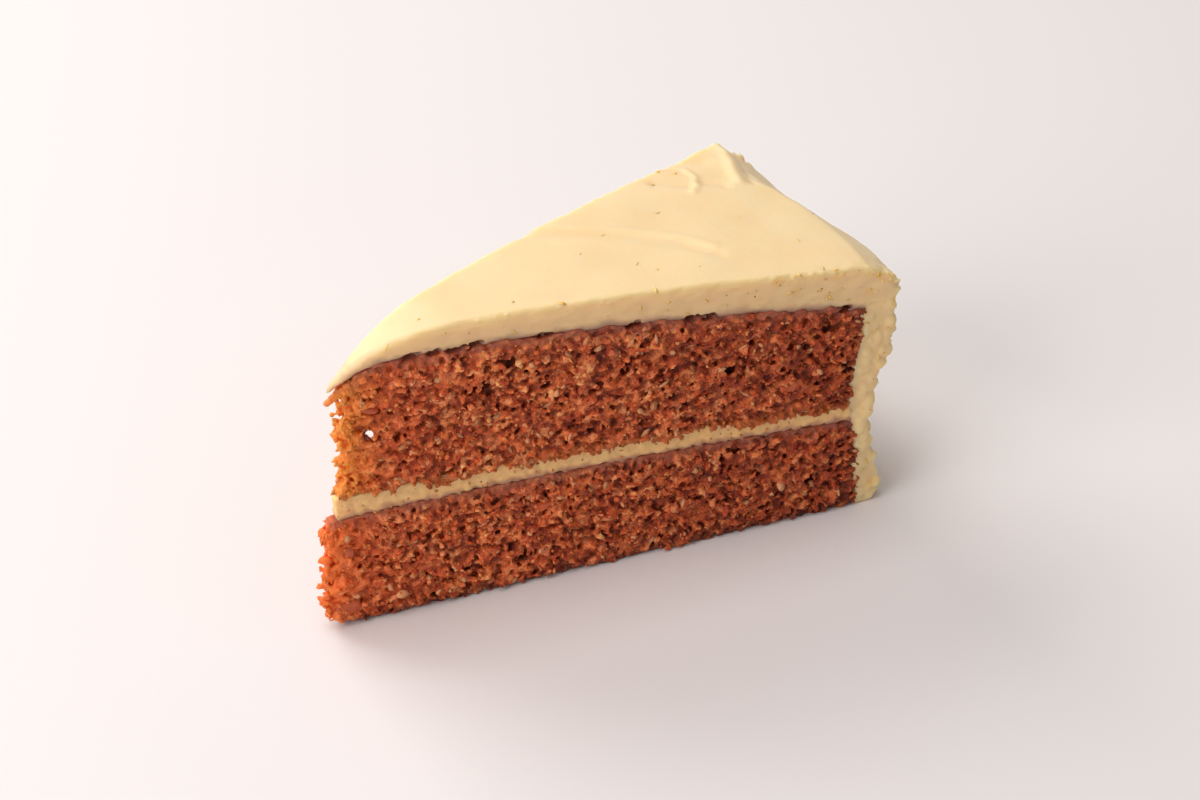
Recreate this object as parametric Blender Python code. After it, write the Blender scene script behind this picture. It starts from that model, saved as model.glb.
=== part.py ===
"""Slice of a two-layer carrot cake, cut from a round cake and standing on its base.

Each layer is a section in (r, z), where r is the distance from the cake's upright axis,
turned about that axis through the slice's angle. The cake's axis runs up the slice's tip.
Metres, +Z up, origin at the middle of the slice's box at the height of its base, tip to -X.
"""
import math

import bmesh
import bpy
from mathutils import Matrix, Vector, noise

MM = 0.001

# Driving dimensions
SLICE_ANGLE = math.radians(26.5)
CRUMB_RADIUS = 124.0 * MM     # of the baked sponges inside the side coat
LOWER_TOP = 29.4 * MM         # heights at the cake's axis; each layer falls away to the rim
FILLING_TOP = 34.6 * MM
UPPER_TOP = 68.2 * MM
ICING_TOP = 74.6 * MM
LOWER_FALL = 5.2 * MM
FILLING_FALL = 6.4 * MM
UPPER_FALL = 13.8 * MM
ICING_FALL = 9.3 * MM
GAP = 0.3 * MM                # between neighbouring layers
TIP_HALF_WIDTH = 0.9 * MM     # a knife leaves the crumb blunt at the point
AXIS_X = -65.4 * MM           # the cake's axis in the part's frame

NOSE_START = 3.0 * MM         # the frosting's point over the worn crumb
NOSE_REACH = 35.0 * MM        # the frosting's top droops this far back from the point
NOSE_DROOP = 13.1 * MM
WORN_REACH = 20.0 * MM        # the crumb's top is worn down this far back from the point
WORN_DROP = 8.5 * MM
SHOULDER_START = 122.5 * MM   # where the frosting's top turns down
SHOULDER_END = 58.0 * MM      # height where the shoulder has become the side
CUT_ROUGHNESS = 0.5 * MM      # how far the torn crumb stands in or out at the two cuts

# Upright outlines, (height, distance from the axis) in millimetres
LOWER_TIP = ((0, 1.6), (3, 0.4), (19, 0.4), (23, 1.3), (30, 2.6))
FILLING_TIP = ((24, 4.4), (30, 3.9), (33, 3.2), (36, 4.4))
UPPER_TIP = ((30, 4.0), (36, 4.3), (42, 6.1), (48, 5.8), (54, 5.2), (58, 5.4), (66, 8.6))
CRUMB_RIM = ((0, 123.4), (7, 124.0), (18, 123.0), (26, 121.2), (32, 120.7), (47, 122.7),
             (58, 122.2))
COAT_SIDE = ((0, 127.4), (4, 129.0), (9, 128.0), (15, 127.0), (21, 125.3), (31, 126.6),
             (38, 128.7), (47, 130.0), (56, 130.6), (66, 130.6))

# What the palette knife left on the top: (along, across, radius, height) in millimetres
SWIRLS = ((98, 23, 5.0, 0.9), (103, 18, 4.0, -0.8), (101, 12, 4.0, 0.7), (106, 10, 4.5, -0.6),
          (112, 13, 4.0, 0.6), (97, 17, 4.0, -0.5), (117, 12, 4.5, 0.8), (48, -2, 14.0, 0.5))
CREASE = ((63, 14), (71, 9), (84, -1), (97, -13), (102, -23))
CREASE_DEPTH = 0.9 * MM
CREASE_WIDTH = 2.6 * MM


def clear_scene():
    for obj in list(bpy.data.objects):
        bpy.data.objects.remove(obj, do_unlink=True)


def food_material(name, colour, roughness):
    material = bpy.data.materials.new(name)
    material.use_nodes = True
    shader = material.node_tree.nodes["Principled BSDF"]
    shader.inputs["Base Color"].default_value = (*colour, 1.0)
    shader.inputs["Roughness"].default_value = roughness
    shader.inputs["Metallic"].default_value = 0.0
    return material


def spread(count):
    """Even fractions from 0 to 1."""
    return [i / (count - 1) for i in range(count)]


def mix(a, b, t):
    return a + (b - a) * t


def outline(points, height):
    """Distance from the axis at a height, on a smooth curve through an upright outline."""
    at = height / MM
    last = len(points) - 2
    index = next((i for i in range(last) if at < points[i + 1][0]), last)
    (z0, r0), (z1, r1) = points[index], points[index + 1]
    before = points[max(index - 1, 0)]
    after = points[min(index + 2, last + 1)]
    span = z1 - z0
    slope0 = (r1 - before[1]) / (z1 - before[0]) * span
    slope1 = (after[1] - r0) / (after[0] - z0) * span
    t = min(max((at - z0) / span, 0.0), 1.0)
    start = (2 * t**3 - 3 * t**2 + 1) * r0 + (t**3 - 2 * t**2 + t) * slope0
    end = (3 * t**2 - 2 * t**3) * r1 + (t**3 - t**2) * slope1
    return (start + end) * MM


def falling(top, fall, r):
    """Height of a layer's top: a baked crumb domes, so it falls away from the axis."""
    return top - fall * (r / CRUMB_RADIUS) ** 2


def base(r):
    return 0.0


def lower_top(r):
    return falling(LOWER_TOP, LOWER_FALL, r)


def filling_bottom(r):
    return lower_top(r) + GAP


def filling_top(r):
    return falling(FILLING_TOP, FILLING_FALL, r)


def upper_bottom(r):
    return filling_top(r) + GAP


def upper_top(r):
    worn = WORN_DROP * max(1.0 - r / WORN_REACH, 0.0) ** 2.5
    return falling(UPPER_TOP, UPPER_FALL, r) - worn


def icing_top(r):
    droop = NOSE_DROOP * max(1.0 - r / NOSE_REACH, 0.0) ** 2.6
    return falling(ICING_TOP, ICING_FALL, r) - droop


def layer_section(bottom, top, tip, columns, rows):
    """Rows of (r, z) for a layer between two surfaces, from its tip outline to the rim."""
    section = []
    for v in spread(rows):
        row = []
        for u in spread(columns):
            r = mix(outline(tip, bottom(0.0)), CRUMB_RADIUS, u)
            for _ in range(3):
                z = mix(bottom(r), top(r), v)
                r = mix(outline(tip, z), outline(CRUMB_RIM, z), u)
            row.append((r, mix(bottom(r), top(r), v)))
        section.append(row)
    return section


def icing_section():
    """The frosting's section: one thick coat bent over the cake's shoulder, inside and outside."""
    corner_r = outline(CRUMB_RIM, 54.0 * MM) + GAP
    corner_z = upper_top(corner_r) + GAP
    turn_in = 3.0 * MM
    inside = []
    outside = []
    for u in spread(27):
        r_in = mix(NOSE_START + 0.5 * MM, corner_r - turn_in, u)
        r_out = mix(NOSE_START, SHOULDER_START, u)
        inside.append((r_in, upper_top(r_in) + GAP))
        outside.append((r_out, icing_top(r_out)))
    start = outside[-1]
    end = (outline(COAT_SIDE, SHOULDER_END), SHOULDER_END)
    knee = (end[0] - 1.2 * MM, start[1] - 0.8 * MM)
    for t in spread(8)[1:]:
        outside.append(tuple((1 - t) ** 2 * a + 2 * t * (1 - t) * k + t ** 2 * b
                             for a, k, b in zip(start, knee, end)))
        along = mix(-turn_in, turn_in, t)
        r_in = corner_r + min(along, 0.0)
        inside.append((r_in, upper_top(r_in) + GAP - max(along, 0.0)))
    for t in spread(13)[1:]:
        z_in = mix(corner_z - turn_in, 0.0, t)
        z_out = mix(SHOULDER_END, 0.0, t)
        inside.append((outline(CRUMB_RIM, z_in) + GAP, z_in))
        outside.append((outline(COAT_SIDE, z_out), z_out))
    return [inside, outside]


def blunt_tip(point):
    """Widen the very point of the wedge, where two cuts would otherwise meet in an edge."""
    half = math.hypot(point.x, point.y) * math.sin(SLICE_ANGLE / 2)
    return Vector((point.x, point.y * math.hypot(half, TIP_HALF_WIDTH) / half, point.z))


def torn_cut(point):
    """Move a point on either cut in or out, as far as the crumb tore there."""
    across = math.atan2(point.y, point.x) / (SLICE_ANGLE / 2)
    if abs(across) < 0.98:
        return point
    side = math.copysign(1.0, across)
    grain = 7.0 * MM
    lump = noise.noise(Vector((point.x / grain, side * 5.0, point.z / grain)))
    return point + Vector((0.0, side * lump * CUT_ROUGHNESS, 0.0))


def crease_depth(x, y):
    """Depth of the long mark the palette knife left across the top."""
    spot = Vector((x, y)) / MM
    nearest = math.inf
    for a, b in zip(CREASE, CREASE[1:]):
        run = Vector(b) - Vector(a)
        t = min(max((spot - Vector(a)).dot(run) / run.length_squared, 0.0), 1.0)
        nearest = min(nearest, (spot - Vector(a) - run * t).length)
    return CREASE_DEPTH * math.exp(-(nearest * MM / CREASE_WIDTH) ** 2)


def palette_marks(point):
    """Raise and sink the frosting's top with its swirls and its crease."""
    r = math.hypot(point.x, point.y)
    middle = (icing_top(r) + upper_top(r)) / 2
    if point.z < max(middle, SHOULDER_END) or r < NOSE_START + MM:
        return point
    lift = -crease_depth(point.x, point.y)
    for along, across, radius, height in SWIRLS:
        distance = math.hypot(point.x / MM - along, point.y / MM - across)
        lift += height * MM * math.exp(-(distance / radius) ** 2)
    fade = min(max((126.0 * MM - r) / (5.0 * MM), 0.0), 1.0)
    return point + Vector((0.0, 0.0, lift * fade))


def turn_layer(name, section, steps, finish, material):
    """Turn a section about the cake's axis into one closed layer, and finish its surface."""
    bm = bmesh.new()
    grid = [[bm.verts.new((r, 0.0, z)) for r, z in row] for row in section]
    for below, above in zip(grid, grid[1:]):
        for i in range(len(below) - 1):
            bm.faces.new((below[i], below[i + 1], above[i + 1], above[i]))
    first_cut = Matrix.Rotation(-SLICE_ANGLE / 2, 3, "Z")
    bmesh.ops.rotate(bm, verts=bm.verts, cent=(0, 0, 0), matrix=first_cut)
    bmesh.ops.spin(bm, geom=bm.verts[:] + bm.edges[:] + bm.faces[:], cent=(0, 0, 0),
                   axis=(0, 0, 1), angle=SLICE_ANGLE, steps=steps)
    for vert in bm.verts:
        vert.co = finish(vert.co)
    bmesh.ops.recalc_face_normals(bm, faces=bm.faces)
    mesh = bpy.data.meshes.new(name)
    bm.to_mesh(mesh)
    bm.free()
    mesh.materials.append(material)
    mesh.shade_smooth()
    mesh.set_sharp_from_angle(angle=math.radians(50))
    layer = bpy.data.objects.new(name, mesh)
    layer.location.x = AXIS_X
    bpy.context.collection.objects.link(layer)
    return layer


def cut_layer(point):
    return torn_cut(blunt_tip(point))


def spread_frosting(point):
    return palette_marks(blunt_tip(point))


clear_scene()
sponge = food_material("carrot_sponge", (0.30, 0.085, 0.028), 0.85)
cream = food_material("cream_cheese_frosting", (0.88, 0.70, 0.42), 0.5)

turn_layer("lower_sponge", layer_section(base, lower_top, LOWER_TIP, 26, 6), 8, cut_layer, sponge)
turn_layer("filling", layer_section(filling_bottom, filling_top, FILLING_TIP, 26, 2), 8, cut_layer,
           cream)
turn_layer("upper_sponge", layer_section(upper_bottom, upper_top, UPPER_TIP, 26, 7), 8, cut_layer,
           sponge)
turn_layer("frosting", icing_section(), 16, spread_frosting, cream)
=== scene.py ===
"""One slice of a two-layer carrot cake with cream-cheese frosting, standing on a pale floor."""
import itertools
import math

import bmesh
import bpy
import numpy as np
import openvdb
from mathutils import Matrix, Vector


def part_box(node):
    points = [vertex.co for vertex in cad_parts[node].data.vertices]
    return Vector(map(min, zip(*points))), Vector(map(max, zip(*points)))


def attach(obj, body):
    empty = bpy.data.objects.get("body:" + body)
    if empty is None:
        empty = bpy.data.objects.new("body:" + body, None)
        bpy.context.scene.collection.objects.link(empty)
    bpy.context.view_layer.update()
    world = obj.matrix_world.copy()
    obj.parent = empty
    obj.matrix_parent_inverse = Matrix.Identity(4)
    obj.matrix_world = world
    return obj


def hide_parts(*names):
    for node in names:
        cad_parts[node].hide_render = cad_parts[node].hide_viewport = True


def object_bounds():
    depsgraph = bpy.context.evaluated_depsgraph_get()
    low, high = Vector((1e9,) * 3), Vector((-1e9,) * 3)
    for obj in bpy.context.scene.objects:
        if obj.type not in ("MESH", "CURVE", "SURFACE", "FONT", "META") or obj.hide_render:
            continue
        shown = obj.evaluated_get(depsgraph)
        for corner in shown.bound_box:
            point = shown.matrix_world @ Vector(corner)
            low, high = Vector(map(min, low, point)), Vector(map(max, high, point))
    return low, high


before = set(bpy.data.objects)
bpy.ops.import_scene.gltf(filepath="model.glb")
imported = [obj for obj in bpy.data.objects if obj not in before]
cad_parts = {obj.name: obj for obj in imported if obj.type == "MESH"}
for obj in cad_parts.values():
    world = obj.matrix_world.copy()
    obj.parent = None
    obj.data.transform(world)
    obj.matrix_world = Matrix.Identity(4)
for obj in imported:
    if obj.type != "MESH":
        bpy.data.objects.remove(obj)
cad_low, cad_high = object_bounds()

# ---------------------------------------------------------------------------------------
# Lower sponge. A baked carrot batter, cut with a long knife: an open crumb full of small
# holes, browned where it lay on the tin, and filmed with frosting where the two meet.
MM = 0.001
CUT_ANGLE = math.radians(13.25)          # of either cut from the slice's middle line
COAT_RADIUS = 130.6 * MM
axis_x = cad_high.x - COAT_RADIUS        # the whole cake's upright axis, at the slice's point
RIM_RADIUS = 122.0 * MM                  # where the crumb meets the side coat
TIP_HALF_WIDTH = 0.9 * MM                # the crumb is blunt at the slice's point
CRUMB_STEP = 0.40 * MM                   # finest shape held in the crumb
CRUMB_BAND = 3.2 * MM                    # depth of torn crumb behind a cut
FILM_WIDTH = 2.4 * MM                    # of the frosting smeared over the crumb below a joint
MOST_TRIANGLES = 196_000                 # in one piece
# How many to a square millimetre, least and most radius in mm, and least and most depth under
# the cut, in radii.
CLUMPS = (0.13, 0.9, 2.0, 0.50, 0.80)
GRAINS = (0.55, 0.4, 0.85, 0.2, 0.8)
SMALL_PORES = (0.13, 0.3, 0.75, 0.0, 0.6)
WIDE_PORES = (0.007, 0.8, 1.35, 0.1, 0.5)
TIP_BITES = 60


def node_field(node, step, band):
    """Distances from a node's skin over a block of cells, below zero inside it, and the places
    of the cells along each axis."""
    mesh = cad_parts[node].data
    points = np.empty(len(mesh.vertices) * 3, np.float32)
    mesh.vertices.foreach_get("co", points)
    mesh.calc_loop_triangles()
    corners = np.empty(len(mesh.loop_triangles) * 3, np.int32)
    mesh.loop_triangles.foreach_get("vertices", corners)
    grid = openvdb.FloatGrid.createLevelSetFromPolygons(
        points.reshape(-1, 3), triangles=corners.reshape(-1, 3).astype(np.uint32),
        transform=openvdb.createLinearTransform(step), halfWidth=band / step)
    low, high = grid.evalActiveVoxelBoundingBox()
    first = [i - 3 for i in low]
    values = np.empty([b - a + 6 for a, b in zip(low, high)], np.float32)
    grid.copyToArray(values, ijk=first)
    return values, cell_places(first, values.shape, step)


def cell_places(first, counts, step):
    places = [(step * (a + np.arange(n))).astype(np.float32) for a, n in zip(first, counts)]
    return np.meshgrid(*places, indexing="ij", sparse=True)


def lumps(counts, size, seed, period=108):
    """Random lumps of one size, in cells, over a block: the same in all directions, spread 1."""
    noise = np.random.default_rng(seed).standard_normal((period,) * len(counts))
    waves = [np.fft.fftfreq(period)] * (len(counts) - 1) + [np.fft.rfftfreq(period)]
    grids = np.meshgrid(*waves, indexing="ij", sparse=True)
    scaled = sum(g * g for g in grids) * size * size
    block = np.fft.irfftn(np.fft.rfftn(noise) * scaled * np.exp(-scaled), s=noise.shape)
    wrapped = [np.arange(n) % period for n in counts]
    return (block / block.std())[np.ix_(*wrapped)].astype(np.float32)


def mottle(at, sizes, seed):
    """Random lumps read at places, with the size of a lump along each axis; spread 1."""
    period, fineness = 96, 8.0
    block = lumps((period,) * 3, fineness, seed, period)
    spot = np.asarray(at) * (fineness / np.asarray(sizes))
    below = np.floor(spot).astype(int)
    part = spot - below
    total = 0.0
    for corner in itertools.product((0, 1), repeat=3):
        share = np.prod(np.where(corner, part, 1 - part), axis=-1)
        index = (below + corner) % period
        total = total + share * block[index[..., 0], index[..., 1], index[..., 2]]
    return total


def cut_distance(x, y):
    """Distance outside the nearer of the two cuts; the point of the wedge is left blunt."""
    half = np.hypot((x - axis_x) * math.tan(CUT_ANGLE), TIP_HALF_WIDTH)
    return (np.abs(y) - half) * math.cos(CUT_ANGLE)


def on_cut(along, side, depth, height):
    """A place so far along a cut from the point, so deep behind it, at a height."""
    x = axis_x + along * math.cos(CUT_ANGLE) + depth * math.sin(CUT_ANGLE)
    y = side * (along * math.sin(CUT_ANGLE) - depth * math.cos(CUT_ANGLE))
    return x, y, height


def mould(values, places, centre, radii, grow):
    """Press a rounded hole into a field, or with grow add a rounded lump to it."""
    window = []
    squares = 0.0
    for axis, (place, middle, radius) in enumerate(zip(places, centre, radii)):
        line = place.ravel()
        reach = radius + 2 * CRUMB_STEP
        cells = slice(np.searchsorted(line, middle - reach), np.searchsorted(line, middle + reach))
        shape = [1, 1, 1]
        shape[axis] = -1
        squares = squares + (((line[cells] - middle) / radius) ** 2).reshape(shape)
        window.append(cells)
    window = tuple(window)
    if values[window].size == 0:
        return
    ball = (np.sqrt(squares) - 1.0) * min(radii)
    if grow:
        np.minimum(values[window], ball, out=values[window])
    else:
        np.maximum(values[window], -ball, out=values[window])


def skin(name, values, places):
    """The closed surface where a field is zero, as an object, with its loose bits left out."""
    step = float(places[0].ravel()[1] - places[0].ravel()[0])
    grid = openvdb.FloatGrid(float(values.max()))
    grid.copyFromArray(np.ascontiguousarray(values, np.float32))
    grid.transform = openvdb.createLinearTransform(step)
    points, triangles, quads = grid.convertToPolygons(isovalue=0.0, adaptivity=0.0)
    points = points + np.array([place.ravel()[0] for place in places], np.float32)
    faces = np.vstack((quads, np.c_[triangles, triangles[:, 2]])) if len(triangles) else quads
    body = np.arange(len(points))
    one, other = faces.ravel(), np.roll(faces, 1, axis=1).ravel()
    while True:
        lower = np.minimum(body[one], body[other])
        joined = body.copy()
        np.minimum.at(joined, one, lower)
        np.minimum.at(joined, other, lower)
        joined = joined[joined]
        if (joined == body).all():
            break
        body = joined
    biggest = np.bincount(body).argmax()
    faces = faces[body[faces[:, 0]] == biggest]
    used, index = np.unique(faces, return_inverse=True)
    index = index.reshape(faces.shape)
    mesh = bpy.data.meshes.new(name)
    rows = [tuple(f[:3]) if f[3] == f[2] else tuple(f) for f in index.tolist()]
    mesh.from_pydata(points[used].tolist(), [], rows)
    made = bmesh.new()
    made.from_mesh(mesh)
    if made.calc_volume(signed=True) < 0:
        bmesh.ops.reverse_faces(made, faces=made.faces)
    made.to_mesh(mesh)
    made.free()
    piece = bpy.data.objects.new(name, mesh)
    bpy.context.collection.objects.link(piece)
    return piece


def bake(piece):
    """Turn a piece's modifiers into its plain mesh."""
    graph = bpy.context.evaluated_depsgraph_get()
    mesh = bpy.data.meshes.new_from_object(piece.evaluated_get(graph))
    piece.modifiers.clear()
    piece.data = mesh


def thin_out(piece, hidden):
    """Gather small faces into larger ones: most of the hidden ones, then all over, as far as
    the piece needs to be light enough."""
    group = piece.vertex_groups.new(name="hidden")
    group.add(np.nonzero(hidden)[0].tolist(), 1.0, "REPLACE")
    thinner = piece.modifiers.new("thinner", "DECIMATE")
    thinner.ratio = 1.0 - 0.85 * float(hidden.mean())
    thinner.vertex_group = "hidden"
    bake(piece)
    count = sum(len(face.vertices) - 2 for face in piece.data.polygons)
    if count > MOST_TRIANGLES:
        thinner = piece.modifiers.new("thinner", "DECIMATE")
        thinner.ratio = MOST_TRIANGLES / count
        bake(piece)
    piece.vertex_groups.clear()
    piece.data.shade_smooth()


def vertex_places(piece):
    flat = np.empty(len(piece.data.vertices) * 3, np.float32)
    piece.data.vertices.foreach_get("co", flat)
    return flat.reshape(-1, 3)


def set_attribute(piece, name, numbers):
    layer = piece.data.attributes.new(name, "FLOAT", "POINT")
    layer.data.foreach_set("value", np.ascontiguousarray(numbers, np.float32))


def add(tree, kind, inputs=None, **settings):
    """A node of a tree, with its settings made and its inputs set or joined."""
    made = tree.nodes.new(kind)
    for key, value in settings.items():
        setattr(made, key, value)
    for key, value in (inputs or {}).items():
        if isinstance(value, bpy.types.NodeSocket):
            tree.links.new(value, made.inputs[key])
        else:
            made.inputs[key].default_value = value
    return made


def blend(tree, factor, below, above, kind="MIX"):
    """The colour of one node laid over another, as far as a factor says."""
    made = add(tree, "ShaderNodeMix", data_type="RGBA", blend_type=kind)
    for index, value in ((0, factor), (6, below), (7, above)):
        if isinstance(value, bpy.types.NodeSocket):
            tree.links.new(value, made.inputs[index])
        else:
            made.inputs[index].default_value = value
    return made.outputs[2]


def attribute(tree, key):
    return add(tree, "ShaderNodeAttribute", attribute_name=key).outputs["Fac"]


def torn_crumb(values, places, seed, bottom, top, tip):
    """Tear a sponge's two cuts: clumps and grains that stand out, pores of two sizes, a ragged
    point, and a rough surface that is smoother under the film of frosting at the top."""
    rng = np.random.default_rng(seed)
    x, y, z = places
    area = 121 * float(top(0.0) - bottom(0.0)) / MM
    for side in (-1, 1):
        for (density, least, most, shallow, deep), grow in (
                (CLUMPS, True), (GRAINS, True), (SMALL_PORES, False), (WIDE_PORES, False)):
            for _ in range(int(area * density)):
                radius = rng.uniform(least, most) ** 1.3 * MM
                along = rng.uniform(tip + radius, RIM_RADIUS - radius)
                floor = bottom(along) + radius * 0.5
                roof = top(along) - radius - (0.3 if grow else 1.2) * MM
                depth = rng.uniform(shallow, deep) * radius
                centre = on_cut(along, side, depth, rng.uniform(floor, roof))
                stretch = rng.uniform(0.8, 1.5, 2)
                radii = (radius * stretch[0], radius, radius / stretch[1])
                mould(values, places, centre, radii, grow)
    middle = int(np.argmin(np.abs(y.ravel())))
    for number in range(TIP_BITES):
        height = rng.uniform(bottom(0.0) + 0.6 * MM, top(tip) - 1.6 * MM)
        level = int(np.argmin(np.abs(z.ravel() - height)))
        point = x.ravel()[np.argmax(values[:, middle, level] < 0)]
        radius = rng.uniform(0.45, 1.15) * MM
        centre = (point + rng.uniform(0.0, 0.7) * MM, rng.uniform(-1.0, 1.0) * MM, height)
        mould(values, places, centre, (radius * 1.2, radius, radius), number % 2 == 0)
    near_cut = np.clip(1.0 + cut_distance(x, y) / CRUMB_BAND, 0.0, 1.0)
    filmed = np.clip(1.0 - (top(x - axis_x) - z) / FILM_WIDTH, 0.0, 1.0)
    rough = 0.30 * lumps(values.shape, 6.5, seed) + 0.13 * lumps(values.shape, 2.9, seed + 1)
    values += rough * near_cut * (1.0 - 0.5 * filmed) * MM


def crack(values, places, rng, along, side, height, length):
    """Open a ragged crack along a joint, from small hollows side by side."""
    for _ in range(10):
        centre = on_cut(along + rng.uniform(-1, 1) * length, side, 0.2 * MM,
                        height + rng.uniform(-0.5, 0.5) * MM)
        radii = (rng.uniform(0.4, 1.2) * MM, rng.uniform(1.1, 2.3) * MM, rng.uniform(0.28, 0.6) * MM)
        mould(values, places, centre, radii, False)


def crumb_marks(piece, seed, bottom, top, crust_depth, tip):
    """Write on each point how high, filmed, crusted, baked and thin the crumb is there."""
    at = vertex_places(piece)
    uneven = mottle(at, (3.5 * MM,) * 3, seed)
    ragged = mottle(at, (1.3 * MM,) * 3, seed + 1)
    cut = cut_distance(at[:, 0], at[:, 1])
    along = np.clip(at[:, 0] - axis_x, 0, None)
    relief = np.clip(0.75 + cut / (2.0 * MM), 0, 1)
    set_attribute(piece, "relief", relief)
    beyond = np.clip(along - tip, 0, None)
    # How near the thin point the crumb is: the material paints an orange glow there and lets light
    # reach further through
    glow = np.exp(-((beyond / (9.5 * MM)) ** 1.2)) * (1.0 + 0.10 * ragged)
    set_attribute(piece, "glow", np.clip(glow, 0, 1))
    under = top(along) - at[:, 2]
    film = np.clip(1.2 - under / (FILM_WIDTH * np.clip(1 + 0.55 * uneven, 0.2, 2.2)), 0, 1)
    set_attribute(piece, "film", film ** 1.3 * np.clip(0.66 + 0.14 * ragged, 0, 1))
    over = at[:, 2] - bottom(along)
    crust = np.clip(1.3 - over / (crust_depth * np.clip(1 + 0.45 * uneven, 0.3, 2)), 0, 1)
    set_attribute(piece, "crust", crust * np.clip(0.62 + 0.2 * ragged, 0, 0.95))
    set_attribute(piece, "baked", np.clip((along - 45 * MM) / (80 * MM), 0, 1))
    open_crumb = (relief > 0.4) & (film < 0.35) & (at[:, 2] > MM) & (under > 0.4 * MM)
    set_attribute(piece, "open_crumb", open_crumb)


def sponge_material(name, seed, crust_colour, painted_glow_colour, loose=False):
    """Moist carrot crumb: red-brown, grain by grain lighter and darker, with painted shade in its
    pores and painted light on the crumb that stands out, and a painted orange glow where it is
    thin, besides the light that the subsurface reach carries through it there. Loose grains each
    have a shade of their own."""
    material = bpy.data.materials.new(name)
    material.use_nodes = True
    tree = material.node_tree
    shader = tree.nodes["Principled BSDF"]
    place = add(tree, "ShaderNodeTexCoord").outputs["Object"]
    place = add(tree, "ShaderNodeMapping", {"Vector": place, "Location": (seed, 0, 0)}).outputs[0]

    def ramp(factor, *stops):
        made = add(tree, "ShaderNodeValToRGB", {"Fac": factor})
        ends = made.color_ramp.elements
        while len(ends) < len(stops):
            ends.new(0.5)
        for end, (at, colour) in zip(ends, stops):
            end.position = at
            end.color = (*colour, 1.0)
        return made.outputs["Color"]

    if loose:
        level = attribute(tree, "shade")
    else:
        grain = add(tree, "ShaderNodeTexVoronoi", {"Vector": place, "Scale": 650.0})
        level = add(tree, "ShaderNodeSeparateColor", {"Color": grain.outputs["Color"]}).outputs[0]
    crumb = ramp(level, (0.0, (0.15, 0.022, 0.005)), (0.45, (0.38, 0.082, 0.020)),
                 (0.8, (0.62, 0.20, 0.070)), (1.0, (1.0, 0.55, 0.30)))
    patch = add(tree, "ShaderNodeTexNoise", {"Vector": place, "Scale": 300.0, "Detail": 3.0})
    tone = ramp(patch.outputs["Fac"], (0.36, (0.15, 0.018, 0.004)), (0.5, (0.40, 0.095, 0.026)),
                (0.66, (0.80, 0.34, 0.15)))
    colour = blend(tree, 0.55, crumb, tone)
    hue = add(tree, "ShaderNodeTexNoise", {"Vector": place, "Scale": 130.0, "Detail": 2.0})
    cast = ramp(hue.outputs["Fac"], (0.4, (0.62, 0.17, 0.11)), (0.6, (0.55, 0.20, 0.02)))
    colour = blend(tree, 0.35, colour, cast, "SOFT_LIGHT")
    fine = add(tree, "ShaderNodeTexNoise", {"Vector": place, "Scale": 2000.0, "Detail": 2.0})
    speckle = ramp(fine.outputs["Fac"], (0.35, (0.2,) * 3), (0.65, (0.85,) * 3))
    colour = blend(tree, 0.4, colour, speckle, "OVERLAY")
    # Painted shade darkening the crumb the deeper it lies behind the cut, and painted light on crumb
    # standing proud of it, with a warm tint on the flush cut between
    painted_pore_shade_and_light = ramp(attribute(tree, "relief"), (0.0, (0.22, 0.08, 0.04)), (0.45, (0.58, 0.38, 0.28)),
                   (0.7, (1.04, 0.90, 0.76)), (1.0, (1.6, 1.55, 1.42)))
    colour = blend(tree, 1.0, colour, painted_pore_shade_and_light, "MULTIPLY")
    browned = blend(tree, 1.0, colour, (0.62, 0.45, 0.34, 1.0), "MULTIPLY")
    colour = blend(tree, attribute(tree, "baked"), colour, browned)
    # Painted glow: the thin point is coloured bright orange for light shining through it, and the
    # subsurface reach widens there too
    glow = attribute(tree, "glow")
    colour = blend(tree, glow, colour, ramp(glow, (0.25, (0.85, 0.13, 0.025)), (0.85, painted_glow_colour)))
    colour = blend(tree, attribute(tree, "film"), colour, (0.36, 0.115, 0.07, 1.0))
    colour = blend(tree, attribute(tree, "crust"), colour, (*crust_colour, 1.0))
    tree.links.new(colour, shader.inputs["Base Color"])
    gloss = add(tree, "ShaderNodeMapRange", {"Value": fine.outputs["Fac"], "From Min": 0.3,
                                            "From Max": 0.7, "To Min": 0.3, "To Max": 0.7})
    tree.links.new(gloss.outputs["Result"], shader.inputs["Roughness"])
    pits = add(tree, "ShaderNodeTexNoise", {"Vector": place, "Scale": 2200.0, "Detail": 2.0})
    bump = add(tree, "ShaderNodeBump", {"Height": pits.outputs["Fac"], "Strength": 0.7,
                                       "Distance": 0.4 * MM})
    tree.links.new(bump.outputs["Normal"], shader.inputs["Normal"])
    shader.inputs["Specular IOR Level"].default_value = 0.35
    shader.inputs["Subsurface Weight"].default_value = 0.55
    shader.inputs["Subsurface Radius"].default_value = (1.0, 0.55, 0.35)
    through = add(tree, "ShaderNodeMapRange", {"Value": glow, "From Min": 0.0, "From Max": 1.0,
                                              "To Min": 1.2 * MM, "To Max": 2.0 * MM})
    tree.links.new(through.outputs["Result"], shader.inputs["Subsurface Scale"])
    return material


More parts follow.
